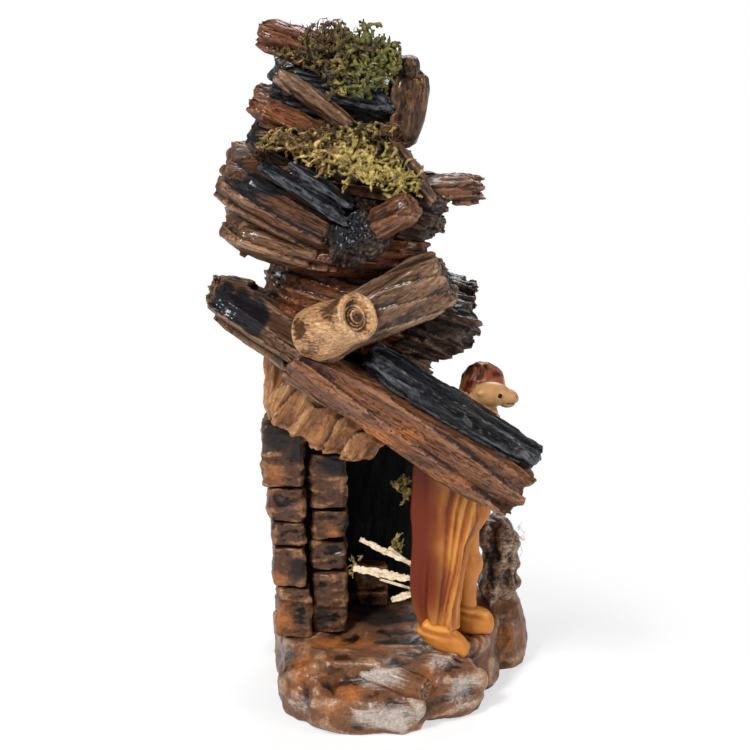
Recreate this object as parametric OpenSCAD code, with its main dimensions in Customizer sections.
/* [Rock base] */
// Width of the rock base, from its back to its open front
base_w = 100; // [94:1:106]
// Depth of the rock base, from its near side to its far side
base_d = 96; // [88:1:104]
// Height of the floor that the walls and the shepherd stand on
floor_h = 28; // [22:1:34]
// Width of the rock shelf at the near left corner
near_left_rock_w = 38; // [34:1:42]
// Width of the long low rock along the near rim
near_rock_w = 58; // [50:1:64]
// Width of the rock under the shepherd's near foot
near_right_rock_w = 42; // [38:1:46]
// Width of the rock under the shepherd's far foot
front_rock_w = 30; // [27:1:33]
// Width of the tall rock that carries the stump
far_right_rock_w = 31; // [28:1:34]
// Width of each rock along the far rim
far_rock_w = 52; // [44:1:58]
// Width of the rim that the walls stay back from
rim_w = 4; // [3:0.5:5]
// How far the rim rocks stand out from the base
rock_overhang = 13; // [9:1:15]
// Length of the rolled root on the near rim
root_l = 34; // [28:1:38]
// Thickness of the rolled root
root_t = 11; // [9:1:13]

/* [Stone walls] */
// How far the stone walls stop below the top of the shepherd's head
wall_drop = 25; // [22:1:32]
// Width of the outer stones of the near wall
near_stone_w = 19; // [16:1:21]
// Depth of the outer stones of the near wall
near_stone_d = 20; // [17:1:22]
// Width of the stones in the stepped back jamb
jamb_stone_w = 17.5; // [14.5:1:18.5]
// Depth of the stones in the stepped back jamb
jamb_stone_d = 18; // [14:1:20]
// How far the jamb is set back from the near wall's face
jamb_setback = 6; // [4:1:8]
// Height of the jamb, as a share of the wall
jamb_height_share = 0.84; // [0.78:0.01:0.88]
// Thickness of the back and far walls
wall_t = 12; // [10:1:14]
// Depth of the stable between the outer faces of its walls
stable_d = 64; // [58:1:70]
// Length of the far wall
far_wall_l = 64; // [56:1:70]
// Depth of the mortar joint between two stones of a course
joint_w = 0.8; // [0.4:0.1:1.2]
// Height of the bed joint over each stone
bed_joint_h = 0.3; // [0.2:0.1:0.5]
// Thickness of the charred boards that line the stable
lining_t = 3; // [2:0.5:4]
// How far a hewn face wanders from flat
hewn_depth = 0.9; // [0.4:0.1:1.2]

/* [Roof] */
// Slope of the roof
roof_pitch = 33; // [31:1:35]
// Height of the gable at the back of the walls
gable_h = 35; // [31:1:39]
// Length of the roof deck along its slope
deck_l = 84; // [78:1:90]
// Depth of the roof deck
deck_d = 88; // [82:1:94]
// Thickness of the roof deck
deck_t = 8; // [6:1:10]
// How far the deck runs out behind the walls
deck_overhang = 8; // [6:1:10]
// Length of the long brown slab on the roof's near edge
barge_l = 116; // [110:1:120]
// Depth of the long brown slab
barge_d = 30; // [27:1:32]
// Thickness of the long brown slab
barge_t = 26; // [23:1:28]
// Length of the charred plank on the long slab
char_plank_l = 86; // [80:1:90]
// Depth of the charred plank
char_plank_d = 26; // [23:1:29]
// Thickness of the charred plank
char_plank_t = 11; // [9:1:13]
// Length of the left roof slab
left_slab_l = 64; // [58:1:68]
// Depth of the left roof slab
left_slab_d = 58; // [52:1:62]
// Thickness of the left roof slab
left_slab_t = 16; // [14:1:18]
// Length of the far roof slab
far_slab_l = 88; // [82:1:94]
// Depth of the far roof slab
far_slab_d = 44; // [40:1:48]
// Thickness of the far roof slab
far_slab_t = 20; // [17:1:22]
// Length of the thin batten under the left slab
batten_l = 30; // [26:1:34]
// Thickness of the batten
batten_t = 6; // [5:0.5:7]
// Thickness of the bark cladding under the roof
cladding_t = 12; // [10:1:14]
// Width of the corner post of bark
corner_post_w = 15; // [13:1:17]
// Width of the carved bark panel
fascia_w = 42; // [38:1:45]
// Height of the carved bark panel
fascia_h = 46; // [42:1:49]

/* [Bark pile, lower tier] */
// Length of the block that carries the pile
core_l = 74; // [70:1:78]
// Depth of the block that carries the pile
core_d = 66; // [62:1:70]
// Thickness of the block that carries the pile
core_t = 40; // [37:1:43]
// Length of the knotted branch
branch_l = 72; // [68:1:78]
// Depth of the knotted branch
branch_d = 26; // [23:1:28]
// Thickness of the knotted branch at its wide end
branch_t = 27; // [24:1:30]
// Diameter of the sawn knot
knot_d = 20; // [17:1:22]
// Length of the sawn knot
knot_l = 30; // [27:1:33]
// Diameter of the hollow in the knot's face
knot_hollow_d = 15; // [12:1:16]
// Depth of the hollow in the knot's face
knot_hollow_h = 3; // [2:0.5:4]
// Length of the split fan on the right
low_fan_l = 48; // [44:1:52]
// Depth of the split fan on the right
low_fan_d = 60; // [54:1:64]
// Thickness of the split fan on the right
low_fan_t = 28; // [25:1:31]

/* [Bark pile, middle tier] */
// Length of the red underbark
red_bark_l = 60; // [56:1:64]
// Depth of the red underbark
red_bark_d = 76; // [70:1:80]
// Thickness of the red underbark
red_bark_t = 19; // [17:1:22]
// Length of the smooth lens of bark
lens_l = 50; // [46:1:54]
// Depth of the smooth lens of bark
lens_d = 74; // [68:1:78]
// Thickness of the smooth lens of bark
lens_t = 21; // [18:1:23]
// Length of the big lobed bark
lobe_l = 58; // [54:1:62]
// Depth of the big lobed bark
lobe_d = 78; // [72:1:82]
// Thickness of the big lobed bark
lobe_t = 25; // [22:1:27]
// Length of the longer charred slat
slat_l = 48; // [44:1:52]
// Depth of a charred slat
slat_d = 16; // [13:1:18]
// Thickness of a charred slat
slat_t = 7; // [6:0.5:8]
// Length of the burr
burr_l = 30; // [27:1:33]
// Depth of the burr
burr_d = 42; // [38:1:45]
// Thickness of the burr
burr_t = 27; // [24:1:29]
// Length of the cut stub
stub_l = 22; // [20:1:25]
// Diameter of the cut stub
stub_d = 14; // [12:1:15]
// Length of the upper split fan
upper_fan_l = 34; // [31:1:37]
// Depth of the upper split fan
upper_fan_d = 64; // [58:1:68]
// Thickness of the upper split fan
upper_fan_t = 24; // [21:1:26]

/* [Bark pile, top tier] */
// Length of the bark plate under the moss bed
bed_l = 64; // [60:1:68]
// Depth of the bark plate under the moss bed
bed_d = 66; // [60:1:70]
// Thickness of the bark plate under the moss bed
bed_t = 16; // [14:1:18]
// Length of the dark angular chunk
chunk_l = 28; // [25:1:31]
// Depth of the dark angular chunk
chunk_d = 52; // [48:1:56]
// Thickness of the dark angular chunk
chunk_t = 17; // [15:1:19]
// Length of the stick that reaches out on the right
right_stick_l = 36; // [33:1:39]
// Depth of the stick on the right
right_stick_d = 34; // [30:1:38]
// Thickness of the stick on the right
right_stick_t = 11; // [9:1:13]
// Length of the slanting strip
strip_l = 32; // [29:1:35]
// Thickness of the slanting strip
strip_t = 8; // [7:1:10]
// Length of the block between the moss bed and the charred block
middle_l = 48; // [44:1:52]
// Depth of that block
middle_d = 46; // [42:1:50]
// Thickness of that block
middle_t = 21; // [19:1:23]
// Length of the charred block
char_block_l = 57; // [53:1:61]
// Depth of the charred block
char_block_d = 48; // [44:1:52]
// Thickness of the charred block
char_block_t = 23; // [21:1:25]
// Length of the small reddish slab on the left
upper_slab_l = 37; // [34:1:40]
// Depth of the small reddish slab
upper_slab_d = 52; // [48:1:56]
// Thickness of the small reddish slab
upper_slab_t = 13; // [11:1:15]
// Length of the pale diagonal stick
diagonal_l = 40; // [37:1:44]
// Thickness of the pale diagonal stick
diagonal_t = 9; // [8:1:10]
// Height of the leaning post
post_h = 32; // [29:1:35]
// Width of the leaning post
post_w = 17; // [15:1:19]
// Diameter of the round stub on the leaning post
post_stub_d = 11; // [9:1:12]
// Length of the ridge log
ridge_log_l = 36; // [33:1:40]
// Thickness of the ridge log
ridge_log_t = 16; // [14:1:17]

/* [Bark finish] */
// Depth of the ridges along the grain
bark_ridge = 1.5; // [0.8:0.1:1.9]
// How far broken ends splinter
bark_reach = 3.5; // [2:0.5:4.5]
// How far the fingers of a split fan reach
fan_reach = 9; // [6:1:11]
// How far a sawn end is from flat
sawn_reach = 0.8; // [0.4:0.1:1.2]

/* [Moss and straw] */
// Width of the moss clump on the ridge
ridge_moss_w = 50; // [46:1:54]
// Depth of the moss clump on the ridge
ridge_moss_d = 34; // [30:1:38]
// Height of the moss clump on the ridge
ridge_moss_h = 20; // [18:1:23]
// Width of the moss bed
moss_bed_w = 66; // [62:1:70]
// Depth of the moss bed
moss_bed_d = 46; // [42:1:50]
// Height of the moss bed
moss_bed_h = 17; // [14:1:19]
// Length of the longest straw
straw_l = 30; // [27:1:33]
// Width of a straw
straw_w = 3.6; // [3:0.2:4.2]
// Thickness of a straw
straw_t = 1.2; // [1:0.1:1.6]

/* [Shepherd and lamb] */
// Height of the shepherd
shepherd_h = 125; // [120:1:130]
// Width of the robe at its fullest, back to front
robe_w = 33; // [30:1:36]
// Depth of the robe at its fullest, side to side
robe_d = 26; // [24:1:28]
// Depth of the robe's folds
fold_depth = 1.5; // [0.8:0.1:2]
// Diameter of a lower leg
leg_d = 9; // [8:0.5:10.5]
// Length of a shoe
shoe_l = 17; // [15:1:19]
// Height of the head from chin to crown
head_h = 21; // [19:1:22]
// Thickness of the lamb's body
lamb_t = 13; // [11:1:14]
// Length of the lamb's head
lamb_head_l = 23; // [21:1:25]

/* [Stump] */
// Height of the gnarled stump
stump_h = 42; // [38:1:46]
// Thickness of the gnarled stump
stump_t = 19; // [17:1:21]

/* [Hidden] */

// How many courses the back and far walls have
courses = 5;

// How many stations a rough piece has along its length, and grain lines around it
rough_steps = 6;
grain_lines = 16;
// Share of a ridge that changes from station to station
drift_share = 0.45;
// Share of its section that a piece loses at its very ends
end_round_share = 0.22;
sawn_ends = [sawn_reach, sawn_reach];

// A power that keeps the sign: under 1 it squares a round section
function squared(v, power) = sign(v) * pow(abs(v), power);
function mix(a, b, s) = a + (b - a) * s;
// A smooth run through three values at the start, the middle and the end
function through(v, s) = v[0] * (1 - s) * (1 - 2 * s) + v[1] * 4 * s * (1 - s) + v[2] * s * (2 * s - 1);
// A smooth run through any number of values
function along(v, s) =
    let (n = len(v) - 1, k = min(floor(s * n), n - 1), f = s * n - k, e = f * f * (3 - 2 * f))
    mix(v[k], v[k + 1], e);

// Where a piece sits on the piece that carries it: shares of the carrier's half length,
// of its half depth, and of half of both thicknesses up from its middle
function seat(at, size, tilt, own_t, shares) =
    let (run = size.x / 2 * shares.x, rise = (size.z + own_t) / 2 * shares.z)
    [at.x + run * cos(tilt) - rise * sin(tilt),
     at.y + size.y / 2 * shares.y,
     at.z + run * sin(tilt) + rise * cos(tilt)];

// A closed skin over rings of points that run along the piece
module skin(rings, first, last) {
    n = len(rings);
    m = len(rings[0]);
    sides = [for (i = [0:n - 2]) for (j = [0:m - 1])
        let (k = (j + 1) % m, a = i * m + j, b = i * m + k)
        each [[a, a + m, b + m], [a, b + m, b]]];
    caps = [for (j = [0:m - 1])
        let (k = (j + 1) % m)
        each [[n * m, j, k], [n * m + 1, (n - 1) * m + k, (n - 1) * m + j]]];
    polyhedron([for (r = rings) each r, first, last], concat(sides, caps), convexity = 6);
}

// A rough split piece of wood along X. section is its share of the full section at its start,
// middle and end, square squares its section, reach is how far each end splinters
module rough(size, seed, section_share = [0.8, 1, 0.75], square = 0.55, ridge = bark_ridge,
        reach = [bark_reach, bark_reach], narrow_share = [1, 1, 1],
        steps = rough_steps, lines = grain_lines) {
    grain = rands(-1, 1, lines, seed);
    burst = rands(0, 1, 2 * lines, seed + 1);
    drift = rands(-1, 1, (steps + 1) * lines, seed + 2);
    rings = [for (i = [0:steps])
        let (s = i / steps, u = 2 * s - 1,
             high = through(section_share, s) * (1 - end_round_share * pow(u, 8)),
             wide = through(narrow_share, s) * (1 - end_round_share * pow(u, 8)),
             tear = pow(abs(u), 5))
        [for (j = [0:lines - 1])
            let (a = 360 * j / lines,
                 comb = j % 2 == 0 ? 1 : -1,
                 groove = ridge * (0.5 * comb + 0.6 * grain[j] + drift_share * drift[i * lines + j]),
                 out = u < 0 ? -reach[0] * burst[j] : reach[1] * burst[j + lines])
            [mix(reach[0] - size.x / 2, size.x / 2 - reach[1], s) + out * tear,
             (size.y / 2 - ridge) * wide * squared(cos(a), square) + groove * cos(a),
             (size.z / 2 - ridge) * high * squared(sin(a), square) + groove * sin(a)]]];
    skin(rings, [reach[0] - size.x / 2, 0, 0], [size.x / 2 - reach[1], 0, 0]);
}

// A rough piece at its place, tilted in the roof's plane and turned about the upright
module placed(at, tilt, turn = 0) {
    translate(at) rotate([0, -tilt, turn]) children();
}

// A hewn stone with level beds, standing at a place
module stone(at, size, seed) {
    sides = 8;
    levels_share = [[0, 0.95], [0.16, 1], [0.82, 0.99], [1, 0.94]];
    wander = rands(-1, 1, sides * len(levels_share), seed);
    rings = [for (i = [0:len(levels_share) - 1])
        [for (j = [0:sides - 1])
            let (a = 360 / sides * (j + 0.5), r = levels_share[i][1],
                 w = hewn_depth * wander[i * sides + j] / 2)
            [(size.x - hewn_depth) / 2 * r * squared(cos(a), 0.24) + w * cos(a),
             (size.y - hewn_depth) / 2 * r * squared(sin(a), 0.24) + w * sin(a),
             (size.z - bed_joint_h) * levels_share[i][0]]]];
    translate(at) skin(rings, [0, 0, 0], [0, 0, size.z - bed_joint_h]);
}

// A lump with a flat bed. levels_share holds its height and its half width, floor to top
module lump(size, seed, levels_share, sides = 12, rough_share = 0.08) {
    n = len(levels_share);
    wander = rands(-1, 1, sides * n, seed);
    rings = [for (i = [0:n - 1])
        [for (j = [0:sides - 1])
            let (a = 360 * j / sides, r = levels_share[i][1] * (1 + rough_share * wander[i * sides + j]))
            [size.x / 2 * r * squared(cos(a), 0.85),
             size.y / 2 * r * squared(sin(a), 0.85),
             size.z * levels_share[i][0]]]];
    skin(rings, [0, 0, 0], [0, 0, size.z * levels_share[n - 1][0]]);
}

// Where the base and the walls stand
base_at = [-base_w * 0.05, base_d * 0.08, 0];
wall_back = base_at.x - base_w / 2;
far_y = base_at.y + base_d / 2 - rim_w;
near_y = far_y - stable_d;
wall_h = shepherd_h - wall_drop;
wall_top = floor_h + wall_h;
course_h = wall_h / courses;
jamb_x = wall_back + near_stone_w * 0.82;
jamb_y = near_y + jamb_setback;
jamb_h = wall_h * jamb_height_share;

// Where the roof lies: the deck's underside meets the back of the walls at the gable's height
deck_size = [deck_l, deck_d, deck_t];
deck_x = wall_back - deck_overhang + deck_l / 2 * cos(roof_pitch);
deck_at = [deck_x, near_y + stable_d * 0.25,
    wall_top + gable_h + deck_t / 2 / cos(roof_pitch) - (deck_x - wall_back) * tan(roof_pitch)];
barge_size = [barge_l, barge_d, barge_t];
barge_tilt = 0.5 - roof_pitch;
barge_at = seat(deck_at, deck_size, -roof_pitch, barge_t, [0.76, -1.11, 0.42]);
char_plank_size = [char_plank_l, char_plank_d, char_plank_t];
char_plank_at = seat(barge_at, barge_size, barge_tilt, char_plank_t, [0.22, 0.22, 0.86]);
left_slab_size = [left_slab_l, left_slab_d, left_slab_t];
left_slab_at = seat(deck_at, deck_size, -roof_pitch, left_slab_t, [-0.79, -0.66, 0.62]);
far_slab_size = [far_slab_l, far_slab_d, far_slab_t];
far_slab_at = seat(deck_at, deck_size, -roof_pitch, far_slab_t, [-0.02, 0.6, 0.85]);

// Where each piece of the pile lies on the one below
core_size = [core_l, core_d, core_t];
core_tilt = -14;
core_at = seat(deck_at, deck_size, -roof_pitch, core_t, [-0.13, -0.06, 1.3]);
branch_size = [branch_l, branch_d, branch_t];
branch_tilt = 28;
branch_foot_at = seat(core_at, core_size, core_tilt, branch_t, [-0.653, -1.3, -0.499]);
branch_at = branch_foot_at + branch_l / 2 * [cos(branch_tilt), 0, sin(branch_tilt)];
low_fan_size = [low_fan_l, low_fan_d, low_fan_t];
low_fan_tilt = 8;
low_fan_at = seat(core_at, core_size, core_tilt, low_fan_t, [0.8, -0.12, 0.02]);
red_bark_size = [red_bark_l, red_bark_d, red_bark_t];
red_bark_tilt = 2;
red_bark_at = seat(core_at, core_size, core_tilt, red_bark_t, [-0.24, -0.1, 0.84]);
lens_size = [lens_l, lens_d, lens_t];
lens_tilt = -12;
lens_at = seat(red_bark_at, red_bark_size, red_bark_tilt, lens_t, [-1.05, -0.03, 0.34]);
lobe_size = [lobe_l, lobe_d, lobe_t];
lobe_tilt = -26;
lobe_at = seat(lens_at, lens_size, lens_tilt, lobe_t, [-0.02, -0.11, 0.66]);
slat_size = [slat_l, slat_d, slat_t];
slat_tilt = -34;
slat_at = seat(lobe_at, lobe_size, lobe_tilt, slat_t, [0.12, -0.88, 0.78]);
upper_slat_at = seat(slat_at, slat_size, slat_tilt, slat_t, [0.24, 0.55, 0.9]);
burr_size = [burr_l, burr_d, burr_t];
burr_at = seat(red_bark_at, red_bark_size, red_bark_tilt, burr_t, [0.04, -0.72, 0.52]);
stub_at = seat(burr_at, burr_size, 0, stub_d, [0.95, -0.85, 0.5]);
upper_fan_size = [upper_fan_l, upper_fan_d, upper_fan_t];
upper_fan_tilt = -4;
upper_fan_at = seat(red_bark_at, red_bark_size, red_bark_tilt, upper_fan_t, [0.79, -0.05, 0.7]);
bed_size = [bed_l, bed_d, bed_t];
bed_tilt = -6;
bed_at = seat(lobe_at, lobe_size, lobe_tilt, bed_t, [0.5, 0.12, 1]);
chunk_size = [chunk_l, chunk_d, chunk_t];
chunk_tilt = -30;
chunk_at = seat(bed_at, bed_size, bed_tilt, chunk_t, [-0.82, -0.15, 0.52]);
right_stick_size = [right_stick_l, right_stick_d, right_stick_t];
right_stick_at = seat(bed_at, bed_size, bed_tilt, right_stick_t, [1.4, -0.15, -0.26]);
strip_at = seat(bed_at, bed_size, bed_tilt, strip_t, [0.94, -0.84, 0.5]);
middle_size = [middle_l, middle_d, middle_t];
middle_tilt = -8;
middle_at = seat(bed_at, bed_size, bed_tilt, middle_t, [0, 0.05, 0.78]);
char_block_size = [char_block_l, char_block_d, char_block_t];
char_block_tilt = -11;
char_block_at = seat(middle_at, middle_size, middle_tilt, char_block_t, [-0.22, -0.05, 0.76]);
upper_slab_size = [upper_slab_l, upper_slab_d, upper_slab_t];
upper_slab_tilt = -22;
upper_slab_at = seat(chunk_at, chunk_size, chunk_tilt, upper_slab_t, [-0.1, 0.02, 0.84]);
diagonal_at = seat(char_block_at, char_block_size, char_block_tilt, diagonal_t, [-0.28, -1.08, -0.06]);
post_at = seat(char_block_at, char_block_size, char_block_tilt, post_w, [1.05, -0.5, 0]);
ridge_log_at = seat(char_block_at, char_block_size, char_block_tilt, ridge_log_t, [-0.68, -0.4, 0.86]);

// The plain form of each piece that others are cut to
module roof_deck_form() placed(deck_at, -roof_pitch)
    rough(deck_size, 11, [1, 1, 1], 0.25, bark_ridge / 2, sawn_ends);
module barge_form() placed(barge_at, barge_tilt)
    rough(barge_size, 21, [0.62, 0.95, 1.08], 0.5, narrow_share = [0.8, 1, 0.9]);
module char_plank_form() placed(char_plank_at, barge_tilt)
    rough(char_plank_size, 31, [1.2, 0.9, 1.1], 0.5, narrow_share = [0.9, 1, 0.8]);
module left_slab_form() placed(left_slab_at, -roof_pitch)
    rough(left_slab_size, 41, [0.75, 1, 0.8], 0.6);
module far_slab_form() placed(far_slab_at, -roof_pitch)
    rough(far_slab_size, 51, [0.7, 1, 0.7], 0.55);
module core_form() placed(core_at, core_tilt)
    rough(core_size, 61, [0.8, 1, 0.7], 0.5, narrow_share = [0.85, 1, 0.85]);
module branch_form() placed(branch_at, branch_tilt)
    rough(branch_size, 71, [0.75, 0.85, 1.12], 0.6, bark_ridge * 0.6);
module low_fan_form() placed(low_fan_at, low_fan_tilt)
    rough(low_fan_size, 81, [1, 1.1, 1.1], 0.6, bark_ridge * 1.3, [bark_reach, fan_reach]);
module red_bark_form() placed(red_bark_at, red_bark_tilt)
    rough(red_bark_size, 91, [0.9, 1, 0.8], 0.6);
module lens_form() placed(lens_at, lens_tilt)
    rough(lens_size, 101, [0.5, 1, 0.5], 0.7, bark_ridge * 0.6);
module lobe_form() placed(lobe_at, lobe_tilt)
    rough(lobe_size, 111, [0.72, 1.05, 0.7], 0.6, bark_ridge * 1.2);
module burr_form() placed(burr_at, 30)
    rough(burr_size, 121, [0.8, 1.1, 0.9], 0.75, bark_ridge * 1.2);
module upper_fan_form() placed(upper_fan_at, upper_fan_tilt)
    rough(upper_fan_size, 131, [0.9, 1.1, 1], 0.6, bark_ridge * 1.2, [bark_reach, fan_reach * 0.6]);
module bed_form() placed(bed_at, bed_tilt)
    rough(bed_size, 141, [0.8, 1, 0.8], 0.6);
module chunk_form() placed(chunk_at, chunk_tilt)
    rough(chunk_size, 151, [0.8, 1.1, 0.7], 0.5);
module right_stick_form() placed(right_stick_at, 0)
    rough(right_stick_size, 161, [0.8, 1, 1.15], 0.6, bark_ridge, [bark_reach, fan_reach * 0.5]);
module middle_form() placed(middle_at, middle_tilt)
    rough(middle_size, 171, [0.8, 1, 0.8], 0.6);
module char_block_form() placed(char_block_at, char_block_tilt)
    rough(char_block_size, 181, [0.9, 1, 0.9], 0.5, bark_ridge * 1.2);
module upper_slab_form() placed(upper_slab_at, upper_slab_tilt)
    rough(upper_slab_size, 471, [0.8, 1, 0.8], 0.6);
module ridge_log_form() placed(ridge_log_at, -20)
    rough([ridge_log_l, ridge_log_t * 1.15, ridge_log_t], 501, [0.85, 1, 0.9], 0.85, bark_ridge * 0.8);

// The base: how square its outline is at its far front, far back, near back and near front corners
base_power_share = [0.85, 0.6, 0.95, 1.15];
module base_form() {
    sides = 28;
    levels_share = [[0, -0.5], [0.16, 0], [0.7, 0], [0.93, -0.25], [1, -0.6]];
    rings = [for (v = levels_share)
        [for (j = [0:sides - 1])
            let (a = 360 * j / sides, power = base_power_share[floor(a / 90)],
                 swell = 1 + 0.03 * sin(5 * a + 40) + 0.02 * sin(11 * a))
            [(base_w / 2 * swell + rim_w * v[1]) * squared(cos(a), power),
             (base_d / 2 * swell + rim_w * v[1]) * squared(sin(a), power),
             floor_h * v[0]]]];
    translate(base_at) skin(rings, [0, 0, 0], [0, 0, floor_h]);
}
module base_rock() color([0.46, 0.30, 0.20]) base_form();

// A rim rock: a lump set against the base and cut to it
rock_levels_share = [[0, 0.9], [0.2, 1], [0.55, 0.97], [0.8, 0.78], [0.95, 0.48], [1, 0.2]];
rock_reach = rock_overhang * 2.3;
near_rim_y = base_at.y - base_d / 2;
far_rim_y = base_at.y + base_d / 2;
front_rim_x = base_at.x + base_w / 2;
module near_left_rock_form()
    translate([wall_back + near_left_rock_w * 0.52, near_rim_y + rock_reach * 0.52, 0]) rotate([0, 0, -38])
        lump([near_left_rock_w, rock_reach, floor_h * 0.99], 201, rock_levels_share);
module near_rock_form()
    translate([base_at.x - near_rock_w * 0.16, near_rim_y + rock_reach * 0.13, 0]) rotate([0, 0, 0])
        lump([near_rock_w, rock_reach, floor_h * 0.72], 211, rock_levels_share);
module near_right_rock_form()
    translate([base_at.x + base_w * 0.218, near_rim_y + rock_reach * 0.62, 0]) rotate([0, 0, 26])
        lump([near_right_rock_w, rock_reach * 1.15, floor_h * 0.98], 221, rock_levels_share);
module front_rock_form()
    translate([front_rim_x - front_rock_w * 0.42, near_rim_y + base_d * 0.5, 0])
        lump([front_rock_w, rock_reach * 1.4, floor_h * 0.96], 231, rock_levels_share);
module far_right_rock_form()
    translate([front_rim_x - far_right_rock_w * 0.02, far_rim_y - base_d * 0.2, 0])
        lump([far_right_rock_w, base_d * 0.5, floor_h * 1.16], 241, rock_levels_share);
module near_left_rock() color([0.62, 0.40, 0.24]) difference() {
    near_left_rock_form();
    base_form();
}
module near_rock() color([0.66, 0.47, 0.34]) difference() {
    near_rock_form();
    base_form();
    near_left_rock_form();
}
module near_right_rock() color([0.55, 0.40, 0.31]) difference() {
    near_right_rock_form();
    base_form();
    near_rock_form();
}
module front_rock() color([0.50, 0.38, 0.30]) difference() {
    front_rock_form();
    base_form();
    near_right_rock_form();
}
module far_right_rock() color([0.45, 0.35, 0.28]) difference() {
    far_right_rock_form();
    base_form();
    front_rock_form();
}
module far_rocks() color([0.50, 0.36, 0.26]) difference() {
    for (k = [0:1])
        translate([base_at.x + far_rock_w * (0.42 - 0.96 * k), far_rim_y - rock_reach * 0.1, 0])
            lump([far_rock_w * 0.9, rock_reach * 1.05, floor_h * (0.9 - 0.08 * k)], 251 + 10 * k,
                rock_levels_share);
    base_form();
    far_right_rock_form();
}
root_tilt = -9;
root_angle = -24;
module rolled_root() color([0.60, 0.50, 0.42]) difference() {
    placed([base_at.x + near_rock_w * 0.02, near_rim_y + rock_reach * 0.12, floor_h * 0.76],
        root_tilt, root_angle)
        rough([root_l, root_t, root_t], 271, [0.8, 1, 1], 1, bark_ridge * 0.3, sawn_ends);
    base_form();
    near_rock_form();
    near_left_rock_form();
    near_right_rock_form();
}

// Stones of the near wall, floor to top: where each begins, how wide it is and how far it shifts
near_levels_share = [0, 0.24, 0.43, 0.545, 0.705, 1];
near_wide_share = [0.9, 0.83, 0.85, 0.92, 1.03];
near_shift_share = [0.01, -0.09, -0.105, -0.147, -0.2];
module near_stone(k) color([0.42 - 0.02 * k, 0.33 - 0.015 * k, 0.27])
    stone([wall_back + near_stone_w * (0.5 + near_shift_share[k]), near_y + near_stone_d / 2,
           floor_h + wall_h * near_levels_share[k]],
          [near_stone_w * near_wide_share[k], near_stone_d,
           wall_h * (near_levels_share[k + 1] - near_levels_share[k])], 301 + k);

// The stepped jamb beside the opening, and two low stones inside it
jamb_levels_share = [0, 0.14, 0.35, 0.52, 0.69, 0.83, 1];
module jamb_stones() color([0.38, 0.29, 0.23]) difference() {
    jamb_form();
    for (k = [0:len(near_wide_share) - 1]) near_stone(k);
}
module jamb_form() {
    for (k = [0:len(jamb_levels_share) - 2])
        stone([jamb_x + jamb_stone_w * (0.5 + 0.02 * (1 + sin(130 * k))), jamb_y + jamb_stone_d / 2,
               floor_h + jamb_h * jamb_levels_share[k]],
              [jamb_stone_w, jamb_stone_d, jamb_h * (jamb_levels_share[k + 1] - jamb_levels_share[k])],
              321 + k);
    for (k = [0:1])
        stone([jamb_x + jamb_stone_w * 1.6, far_y - wall_t * 2, floor_h + course_h * 0.42 * k],
              [jamb_stone_w * 0.9, wall_t, course_h * (0.42 + 0.2 * k)], 331 + k);
}

// One course of the back and far walls, its joints staggered from the course below
module wall_course(k) {
    z = floor_h + course_h * k;
    back_l = stable_d - near_stone_d - wall_t - 2 * joint_w;
    far_n = 3 + k % 2;
    split = 0.4 + 0.2 * (k % 2);
    color([0.36, 0.29, 0.24]) difference() {
        union() {
            for (i = [0:1])
                stone([wall_back + wall_t / 2,
                       near_y + near_stone_d + joint_w + back_l * (i == 0 ? split / 2 : (1 + split) / 2), z],
                      [wall_t, back_l * (i == 0 ? split : 1 - split) - joint_w, course_h], 341 + 10 * k + i);
            for (i = [0:far_n - 1])
                stone([wall_back + far_wall_l * (i + 0.5) / far_n, far_y - wall_t / 2, z],
                      [far_wall_l / far_n - joint_w, wall_t, course_h], 345 + 10 * k + i);
        }
        if (k == courses - 1) roof_deck_form();
    }
}

// Charred boards on the inner faces of the back and far walls
module wall_lining() color([0.09, 0.09, 0.10]) difference() {
    union() {
        translate([wall_back + wall_t, near_y + near_stone_d, floor_h])
            cube([lining_t, stable_d - near_stone_d - wall_t, wall_h]);
        translate([wall_back + wall_t + lining_t + bed_joint_h, far_y - wall_t - lining_t, floor_h])
            cube([far_wall_l - wall_t - lining_t - bed_joint_h, lining_t, wall_h]);
    }
    roof_deck_form();
    translate([0, far_y - stable_d, under_deck(0) + deck_t])
        rotate([0, roof_pitch, 0]) cube([base_w, stable_d, base_w]);
}

module roof_deck() color([0.16, 0.14, 0.13]) roof_deck_form();
module barge_slab() color([0.55, 0.37, 0.28]) difference() {
    barge_form();
    roof_deck_form();
}
module char_plank() color([0.27, 0.28, 0.31]) difference() {
    char_plank_form();
    barge_form();
}
module left_slab() color([0.44, 0.31, 0.24]) difference() {
    left_slab_form();
    roof_deck_form();
    barge_form();
}
module far_slab() color([0.40, 0.29, 0.22]) difference() {
    far_slab_form();
    roof_deck_form();
    left_slab_form();
}

// Cladding boards that fill the gable between the walls and the deck
board_n = 4;
function under_deck(x) = wall_top + gable_h - (x - wall_back) * tan(roof_pitch);
module gable_board(x0, x1, y0, depth)
    translate([0, y0 + depth, 0]) rotate([90, 0, 0]) linear_extrude(depth)
        polygon([[x0, wall_top], [x1, wall_top], [x1, under_deck(x1)], [x0, under_deck(x0)]]);
module gable_boards() color([0.43, 0.30, 0.22]) difference() {
    for (i = [0:board_n - 1]) {
        back_w = (stable_d - near_stone_d - wall_t) / board_n;
        far_w = gable_h / tan(roof_pitch) * 0.92 / board_n;
        back_t = cladding_t * (1 - 0.15 * (i % 2));
        far_t = wall_t * (1 - 0.15 * (i % 2));
        gable_board(wall_back, wall_back + back_t, near_y + near_stone_d + back_w * i, back_w - bed_joint_h);
        gable_board(wall_back + far_w * i, wall_back + far_w * (i + 1) - bed_joint_h, far_y - far_t, far_t);
    }
    roof_deck_form();
}
corner_post_h = gable_h * 1.15;
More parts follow.
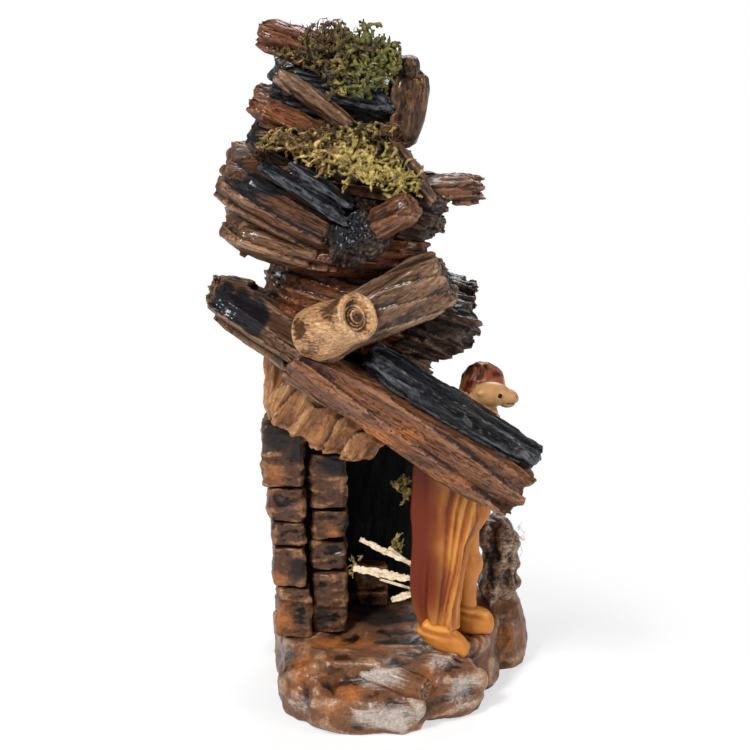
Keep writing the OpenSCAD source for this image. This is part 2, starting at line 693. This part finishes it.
module corner_post_form()
    placed([wall_back + corner_post_w * 0.4, near_y + cladding_t * 0.3, wall_top + corner_post_h * 0.48], 88)
        rough([corner_post_h, cladding_t * 1.3, corner_post_w], 401, [1, 1, 1.1], 0.7);
module corner_post() color([0.50, 0.36, 0.26]) difference() {
    corner_post_form();
    roof_deck_form();
    barge_form();
    left_slab_form();
    near_stone(len(near_wide_share) - 1);
}
module fascia_form()
    placed([wall_back + fascia_w * 0.62, near_y - cladding_t * 0.25, wall_top + gable_h * 0.2], -32)
        rough([fascia_h * 1.2, cladding_t * 1.4, fascia_w * 0.9], 411, [0.9, 1.05, 0.7], 0.6,
            bark_ridge * 1.1);
module fascia_panel() color([0.62, 0.45, 0.30]) difference() {
    fascia_form();
    roof_deck_form();
    for (k = [1:3])
        translate([0, 0, deck_t * 0.6 * k]) roof_deck_form();
    barge_form();
    left_slab_form();
    corner_post_form();
    near_stone(len(near_wide_share) - 1);
    jamb_stones();
}
module batten() color([0.47, 0.41, 0.34]) difference() {
    placed([wall_back + fascia_w * 0.43, near_y - cladding_t * 2.55, wall_top + gable_h * 0.74], -36)
        rough([batten_l, batten_t * 1.4, batten_t], 421, [0.7, 1, 0.8], 0.6, bark_ridge * 0.5);
    barge_form();
    left_slab_form();
    fascia_form();
    roof_deck_form();
}

module pile_core() color([0.28, 0.21, 0.17]) difference() {
    core_form();
    roof_deck_form();
    left_slab_form();
    far_slab_form();
    barge_form();
    char_plank_form();
}
module knotted_branch() color([0.60, 0.45, 0.33]) difference() {
    branch_form();
    core_form();
    left_slab_form();
    barge_form();
    char_plank_form();
}
// The knot points out of the branch towards the near side and up
knot_at = seat(branch_at, branch_size, branch_tilt, 0, [knot_d * 1.08 / branch_l - 1, -0.24, 0.26]);
module sawn_knot_form() translate(knot_at) rotate([0, 0, -46]) rotate([0, 62, 0])
    rotate_extrude($fn = 40)
        polygon([[0, 0], [knot_d * 0.55, 0], [knot_d * 0.55, knot_l * 0.35], [knot_d * 0.47, knot_l * 0.7],
                 [knot_d * 0.5, knot_l * 0.92], [knot_d * 0.47, knot_l], [knot_hollow_d / 2, knot_l],
                 [knot_hollow_d * 0.44, knot_l - knot_hollow_h],
                 [knot_hollow_d * 0.24, knot_l - knot_hollow_h],
                 [knot_hollow_d * 0.16, knot_l - knot_hollow_h * 0.3], [0, knot_l - knot_hollow_h * 0.2]]);
module sawn_knot() color([0.66, 0.50, 0.35]) difference() {
    sawn_knot_form();
    branch_form();
    core_form();
    left_slab_form();
    barge_form();
}
module low_fan() color([0.36, 0.28, 0.24]) difference() {
    low_fan_form();
    core_form();
    branch_form();
    char_plank_form();
    barge_form();
}
module red_bark() color([0.52, 0.30, 0.19]) difference() {
    red_bark_form();
    core_form();
    branch_form();
    low_fan_form();
}
module lens_bark() color([0.42, 0.31, 0.25]) difference() {
    lens_form();
    red_bark_form();
    core_form();
    left_slab_form();
}
module lobed_bark() color([0.45, 0.32, 0.27]) difference() {
    lobe_form();
    lens_form();
    red_bark_form();
}
module slats_form() {
    placed(slat_at, slat_tilt) rough(slat_size, 431, [0.8, 1, 0.9], 0.55, bark_ridge * 0.5);
    placed(upper_slat_at, slat_tilt)
        rough([slat_l * 0.74, slat_d, slat_t * 0.9], 441, [0.8, 1, 0.9], 0.55, bark_ridge * 0.5);
}
module charred_slats() color([0.22, 0.24, 0.28]) difference() {
    slats_form();
    lobe_form();
    burr_form();
    bed_form();
}
module burr() color([0.33, 0.24, 0.19]) difference() {
    burr_form();
    red_bark_form();
    lobe_form();
    lens_form();
    branch_form();
}
stub_tilt = 34;
stub_angle = -24;
module cut_stub() color([0.50, 0.38, 0.30]) difference() {
    placed(stub_at, stub_tilt, stub_angle)
        rough([stub_l, stub_d, stub_d], 451, [1, 1, 1], 0.9, bark_ridge * 0.4, sawn_ends);
    burr_form();
    red_bark_form();
    upper_fan_form();
}
module upper_fan() color([0.26, 0.24, 0.24]) difference() {
    upper_fan_form();
    red_bark_form();
    burr_form();
    lobe_form();
    low_fan_form();
}
module bed_bark() color([0.35, 0.26, 0.20]) difference() {
    bed_form();
    lobe_form();
    burr_form();
    upper_fan_form();
    red_bark_form();
}
module dark_chunk() color([0.24, 0.19, 0.17]) difference() {
    chunk_form();
    bed_form();
    lobe_form();
}
module right_stick() color([0.40, 0.29, 0.22]) difference() {
    right_stick_form();
    bed_form();
    upper_fan_form();
}
module strip_form() placed(strip_at, -55)
    rough([strip_l, strip_t * 1.8, strip_t], 461, [0.8, 1, 0.8], 0.7);
module slanting_strip() color([0.38, 0.27, 0.20]) difference() {
    strip_form();
    bed_form();
    middle_form();
    right_stick_form();
    upper_fan_form();
}
module middle_bark() color([0.25, 0.20, 0.17]) difference() {
    middle_form();
    bed_form();
    chunk_form();
}
module upper_slab() color([0.42, 0.27, 0.20]) difference() {
    upper_slab_form();
    chunk_form();
    middle_form();
}
module char_block() color([0.17, 0.18, 0.21]) difference() {
    char_block_form();
    middle_form();
    upper_slab_form();
    chunk_form();
}
module diagonal_stick() color([0.67, 0.50, 0.35]) difference() {
    placed(diagonal_at, -36)
        rough([diagonal_l, diagonal_t, diagonal_t], 481, [0.9, 1, 1.05], 0.85, bark_ridge * 0.4);
    char_block_form();
    middle_form();
    upper_slab_form();
}
module leaning_post_form() {
    placed(post_at, 84) rough([post_h, post_w * 1.1, post_w], 491, [0.8, 1, 1.1], 0.5, bark_ridge * 0.8);
    placed(post_at + [0, 0, post_h * 0.5], 90)
        rough([post_stub_d, post_stub_d, post_stub_d], 495, [1, 1, 1], 0.9, bark_ridge * 0.3, sawn_ends);
}
module leaning_post() color([0.52, 0.38, 0.29]) difference() {
    leaning_post_form();
    char_block_form();
    middle_form();
    bed_form();
}
module ridge_log() color([0.48, 0.31, 0.22]) difference() {
    ridge_log_form();
    char_block_form();
}

moss_levels_share = [[0, 0.8], [0.25, 1], [0.6, 0.86], [0.85, 0.55], [1, 0.2]];
module ridge_moss() color([0.45, 0.44, 0.20]) difference() {
    translate(char_block_at + [0, -char_block_d * 0.24, char_block_t * 0.24])
        lump([ridge_moss_w, ridge_moss_d, ridge_moss_h + char_block_t * 0.2], 511,
            moss_levels_share, 14, 0.16);
    char_block_form();
    ridge_log_form();
    leaning_post_form();
}
module moss_bed() color([0.52, 0.48, 0.22]) difference() {
    translate(bed_at + [0, -bed_d * 0.25, bed_t * 0.2])
        lump([moss_bed_w, moss_bed_d, moss_bed_h], 521, moss_levels_share, 14, 0.14);
    bed_form();
    middle_form();
    chunk_form();
    lobe_form();
    slats_form();
    upper_slab_form();
    leaning_post_form();
    strip_form();
    right_stick_form();
}

// The shepherd faces the open front, with a lamb over the shoulders
shepherd_at = [base_at.x + base_w * 0.27, near_y + near_stone_d * 0.02, floor_h];
// Height, then middle and half width along X, then middle and half depth along Y, hem to neck
robe_share = [[0.06, -0.24, 0.48, -0.5, 0.46], [0.18, -0.36, 0.64, -0.26, 0.62],
    [0.38, -0.18, 0.78, -0.08, 0.84],
    [0.48, 0.05, 1.08, 0, 0.92], [0.55, 0, 1, 0, 0.96], [0.66, 0.03, 1, 0.04, 1],
    [0.75, 0.2, 0.84, 0.04, 0.92], [0.82, 0.36, 0.4, 0, 0.5]];
function robe_pick(c, s) = along([for (v = robe_share) v[c]], s);
function robe_mid(s) =
    [robe_w / 2 * robe_pick(1, s), robe_d / 2 * robe_pick(3, s), shepherd_h * robe_pick(0, s)];
module robe_form() {
    sides = 20;
    steps = 10;
    rings = [for (i = [0:steps])
        let (s = i / steps, mid = robe_mid(s),
             x = robe_w / 2 * robe_pick(2, s), y = robe_d / 2 * robe_pick(4, s))
        [for (j = [0:sides - 1])
            let (a = 360 * j / sides, fold = fold_depth * (1 - 0.6 * s) * cos(7 * a + 80 * s))
            [mid.x + (x + fold) * cos(a), mid.y + (y + fold) * sin(a), mid.z]]];
    translate(shepherd_at) skin(rings, robe_mid(0), robe_mid(1));
}
shoulder_at = shepherd_at + [robe_w * 0.16, 0, shepherd_h * 0.74];
sleeve_l = shepherd_h * 0.22;
module sleeves_form() for (side = [-1, 1])
    translate(shoulder_at + [robe_w * 0.2, side * robe_d * 0.32, -sleeve_l * 0.28])
        rotate([0, 14, -side * 26])
        rough([sleeve_l, robe_d * 0.36, robe_d * 0.42], 541, [0.8, 1, 1.1], 0.9, fold_depth * 0.5, sawn_ends,
            steps = 4, lines = 10);
module shepherd_robe() color([0.76, 0.47, 0.20]) difference() {
    union() {
        robe_form();
        sleeves_form();
    }
    barge_form();
}
module far_leg_form() {
    leg_x = robe_w * 0.25;
    leg_y = robe_d * 0.4;
    cuff_z = shepherd_h * 0.24;
    translate(shepherd_at + [leg_x, leg_y, 0]) {
        rotate_extrude($fn = 24)
            polygon([[0, shoe_l * 0.2], [leg_d * 0.44, shoe_l * 0.2], [leg_d * 0.4, cuff_z * 0.7],
                     [leg_d * 0.52, cuff_z * 0.88], [leg_d * 0.72, cuff_z], [leg_d * 0.7, cuff_z * 1.12],
                     [leg_d * 0.5, cuff_z * 1.24], [leg_d * 0.5, shepherd_h * 0.5], [0, shepherd_h * 0.5]]);
        translate([shoe_l * 0.22, 0, -rim_w * 0.25])
            lump([shoe_l, leg_d * 1.05, leg_d * 1.25], 551,
                [[0, 0.85], [0.3, 1], [0.65, 0.9], [0.9, 0.6], [1, 0.3]], 12, 0.02);
    }
}
module near_shoe_form() placed(shepherd_at + [-robe_w * 0.07, -robe_d * 0.36, shoe_l * 0.3], -36)
    rough([shoe_l * 1.4, leg_d * 1.15, leg_d * 1.3], 561, [0.9, 1, 0.7], 0.9, fold_depth * 0.2, sawn_ends,
        steps = 5, lines = 12);
module shepherd_legs() color([0.80, 0.50, 0.22]) difference() {
    union() {
        far_leg_form();
        near_shoe_form();
    }
    robe_form();
    base_form();
    near_right_rock_form();
    front_rock_form();
}

// The head: height, middle and half depth along X, half width, chin to crown, in head heights
head_share = [[0, 0.2, 0.1, 0.1], [0.1, 0.14, 0.22, 0.2], [0.28, 0.06, 0.34, 0.3], [0.45, 0.01, 0.4, 0.35],
    [0.62, -0.02, 0.44, 0.37], [0.8, -0.03, 0.41, 0.35], [0.93, -0.04, 0.28, 0.24], [1, -0.04, 0.1, 0.09]];
head_at = shepherd_at + [robe_w * 0.42, robe_d * 0.06, shepherd_h - head_h];
module head_form() {
    sides = 14;
    rings = [for (v = head_share)
        [for (j = [0:sides - 1])
            let (a = 360 * j / sides)
            head_h * [v[1] + v[2] * squared(cos(a), 0.9), v[3] * squared(sin(a), 0.9), v[0]]]];
    translate(head_at) skin(rings, [head_h * head_share[0][1], 0, 0], [head_h * head_share[7][1], 0, head_h]);
}
module neck_form() translate(head_at - [head_h * 0.08, 0, head_h * 0.3])
    cylinder(d = head_h * 0.46, h = head_h * 0.6, $fn = 20);
module nose_form() translate(head_at + [head_h * 0.36, 0, head_h * 0.36])
    linear_extrude(head_h * 0.2, scale = [0.4, 0.5])
        polygon([[0, -head_h * 0.07], [head_h * 0.13, -head_h * 0.03], [head_h * 0.13, head_h * 0.03],
                 [0, head_h * 0.07]]);
module hand_forms() for (side = [-1, 1])
    translate(shoulder_at + [robe_w * 0.2 + sleeve_l * 0.432, side * (robe_d * 0.32 - sleeve_l * 0.17),
                             -sleeve_l * 0.5])
        lump([head_h * 0.34, head_h * 0.26, head_h * 0.3], 571, moss_levels_share, 10, 0.04);
module shepherd_head() color([0.80, 0.62, 0.46]) difference() {
    union() {
        head_form();
        nose_form();
        neck_form();
    }
    robe_form();
    sleeves_form();
}
module shepherd_hands() color([0.80, 0.62, 0.46]) difference() {
    hand_forms();
    robe_form();
    sleeves_form();
}
module shepherd_hair() color([0.40, 0.20, 0.12]) difference() {
    translate(head_at + [-head_h * 0.02, 0, head_h * 0.42])
        lump([head_h * 0.92, head_h * 0.86, head_h * 0.66], 581,
            [[0, 0.86], [0.3, 1], [0.6, 0.92], [0.85, 0.62], [1, 0.25]], 14, 0.04);
    head_form();
    nose_form();
    lamb_body_form();
    lamb_head_form();
}

// The lamb's body lies round the back of the neck, its head beside the shepherd's
lamb_reach = robe_d * 0.52;
lamb_at = [head_at.x - head_h * 0.14, head_at.y, head_at.z + head_h * 0.02];
lamb_head_at = [lamb_at.x + lamb_head_l * 0.26, lamb_at.y - lamb_reach, lamb_at.z + lamb_t * 0.95];
lamb_head_angle = 302;
lamb_tail_angle = 58;
function lamb_turn(s) = mix(lamb_head_angle, lamb_tail_angle, s);
function lamb_lift(s) = lamb_t * 0.7 * pow(1 - s, 4);
function lamb_mid(s) = [lamb_reach * cos(lamb_turn(s)), lamb_reach * sin(lamb_turn(s)), lamb_lift(s)];
module lamb_body_form() {
    sides = 10;
    steps = 9;
    rings = [for (i = [0:steps])
        let (s = i / steps, turn = lamb_turn(s), r = lamb_t / 2 * through([0.6, 1.05, 0.6], s))
        [for (j = [0:sides - 1])
            let (a = 360 * j / sides, wool = 1 + 0.05 * cos(3 * a + 90 * i))
            lamb_mid(s) + r * wool * [cos(a) * cos(turn), cos(a) * sin(turn), sin(a)]]];
    translate(lamb_at) skin(rings, lamb_mid(0), lamb_mid(1));
}
module lamb_head_form() {
    placed(lamb_head_at, -14)
        rough([lamb_head_l, lamb_t * 0.72, lamb_t * 0.92], 591, [0.75, 1, 0.55], 0.85, fold_depth * 0.15,
            sawn_ends, narrow_share = [0.8, 1, 0.55], steps = 6, lines = 12);
    for (side = [-1, 1])
        translate(lamb_head_at + [-lamb_head_l * 0.22, side * lamb_t * 0.36, lamb_t * 0.12])
            rotate([0, 20, side * 30])
                rough([lamb_t * 0.6, lamb_t * 0.16, lamb_t * 0.3], 595, [0.9, 1, 0.5], 0.9, 0, sawn_ends,
                steps = 3, lines = 8);
}
module lamb_legs_form() for (s = [0.05, 0.17, 0.83, 0.95])
    translate(lamb_at + lamb_mid(s)) rotate([0, 155, 0])
        cylinder(d1 = lamb_t * 0.36, d2 = lamb_t * 0.22, h = lamb_t * 1.5 + lamb_lift(s) * 0.6, $fn = 14);
module lamb() color([0.82, 0.66, 0.50]) difference() {
    union() {
        lamb_body_form();
        lamb_head_form();
        lamb_legs_form();
    }
    robe_form();
    sleeves_form();
    head_form();
    neck_form();
    hand_forms();
    char_plank_form();
    barge_form();
    roof_deck_form();
}

module stump() color([0.45, 0.39, 0.34]) {
    sides = 14;
    steps = 8;
    stump_share = [0.9, 0.8, 1.08, 0.84, 0.98, 0.8, 1.1, 0.86, 0.45];
    rings = [for (i = [0:steps])
        let (s = i / steps, r = stump_t / 2 * stump_share[i], turn = 70 * s)
        [for (j = [0:sides - 1])
            let (a = 360 * j / sides, knurl = 1 + 0.14 * cos(3 * a + turn * 2) + 0.06 * cos(7 * a - turn * 3))
            [r * knurl * cos(a) + stump_t * 0.1 * sin(180 * s), r * knurl * sin(a) * 1.2, stump_h * s]]];
    difference() {
        union() {
            translate([front_rim_x - stump_t * 0.05, far_rim_y - base_d * 0.24, floor_h * 0.94]) {
                skin(rings, [0, 0, 0], [0, 0, stump_h]);
                translate([stump_t * 0.32, -stump_t * 0.1, stump_h * 0.86])
                    sphere(d = stump_t * 0.3, $fn = 20);
            }
        }
        far_right_rock_form();
        front_rock_form();
        base_form();
    }
}

// Straws from the shepherd's side back into the stable: shares of the longest for length
// and height above the floor, their tilt, and their share of the robe's depth inwards
straw_share = [[1, 1.28, -32, -0.1], [0.96, 1.06, -14, 0.04], [0.7, 1.12, -24, 0.16], [0.62, 0.66, 8, 0]];
module straws() color([0.88, 0.80, 0.66]) difference() {
    for (i = [0:len(straw_share) - 1])
        let (v = straw_share[i], l = straw_l * v[0])
        placed([shepherd_at.x - robe_w * 0.42 - l * 0.4, shepherd_at.y + robe_d * v[3],
                floor_h + straw_l * v[1]], v[2])
            rough([l, straw_t * 1.5, straw_w * (i == 1 ? 1.6 : 1)], 601 + 10 * i, [1, 0.8, 0.9], 0.8,
                straw_t * 0.2, [straw_w, straw_w / 2], steps = 4, lines = 6);
    robe_form();
}

base_rock();
near_left_rock();
near_rock();
near_right_rock();
front_rock();
far_right_rock();
far_rocks();
rolled_root();
near_stone(0);  // near_stone_1
near_stone(1);  // near_stone_2
near_stone(2);  // near_stone_3
near_stone(3);  // near_stone_4
near_stone(4);  // near_stone_5
jamb_stones();
wall_course(0);  // wall_course_1
wall_course(1);  // wall_course_2
wall_course(2);  // wall_course_3
wall_course(3);  // wall_course_4
wall_course(4);  // wall_course_5
wall_lining();
roof_deck();
barge_slab();
char_plank();
left_slab();
far_slab();
batten();
corner_post();
fascia_panel();
gable_boards();
pile_core();
knotted_branch();
sawn_knot();
low_fan();
red_bark();
lens_bark();
lobed_bark();
charred_slats();
burr();
cut_stub();
upper_fan();
bed_bark();
dark_chunk();
right_stick();
slanting_strip();
middle_bark();
char_block();
upper_slab();
diagonal_stick();
leaning_post();
ridge_log();
ridge_moss();
moss_bed();
straws();
shepherd_robe();
shepherd_legs();
shepherd_head();
shepherd_hands();
shepherd_hair();
lamb();
stump();
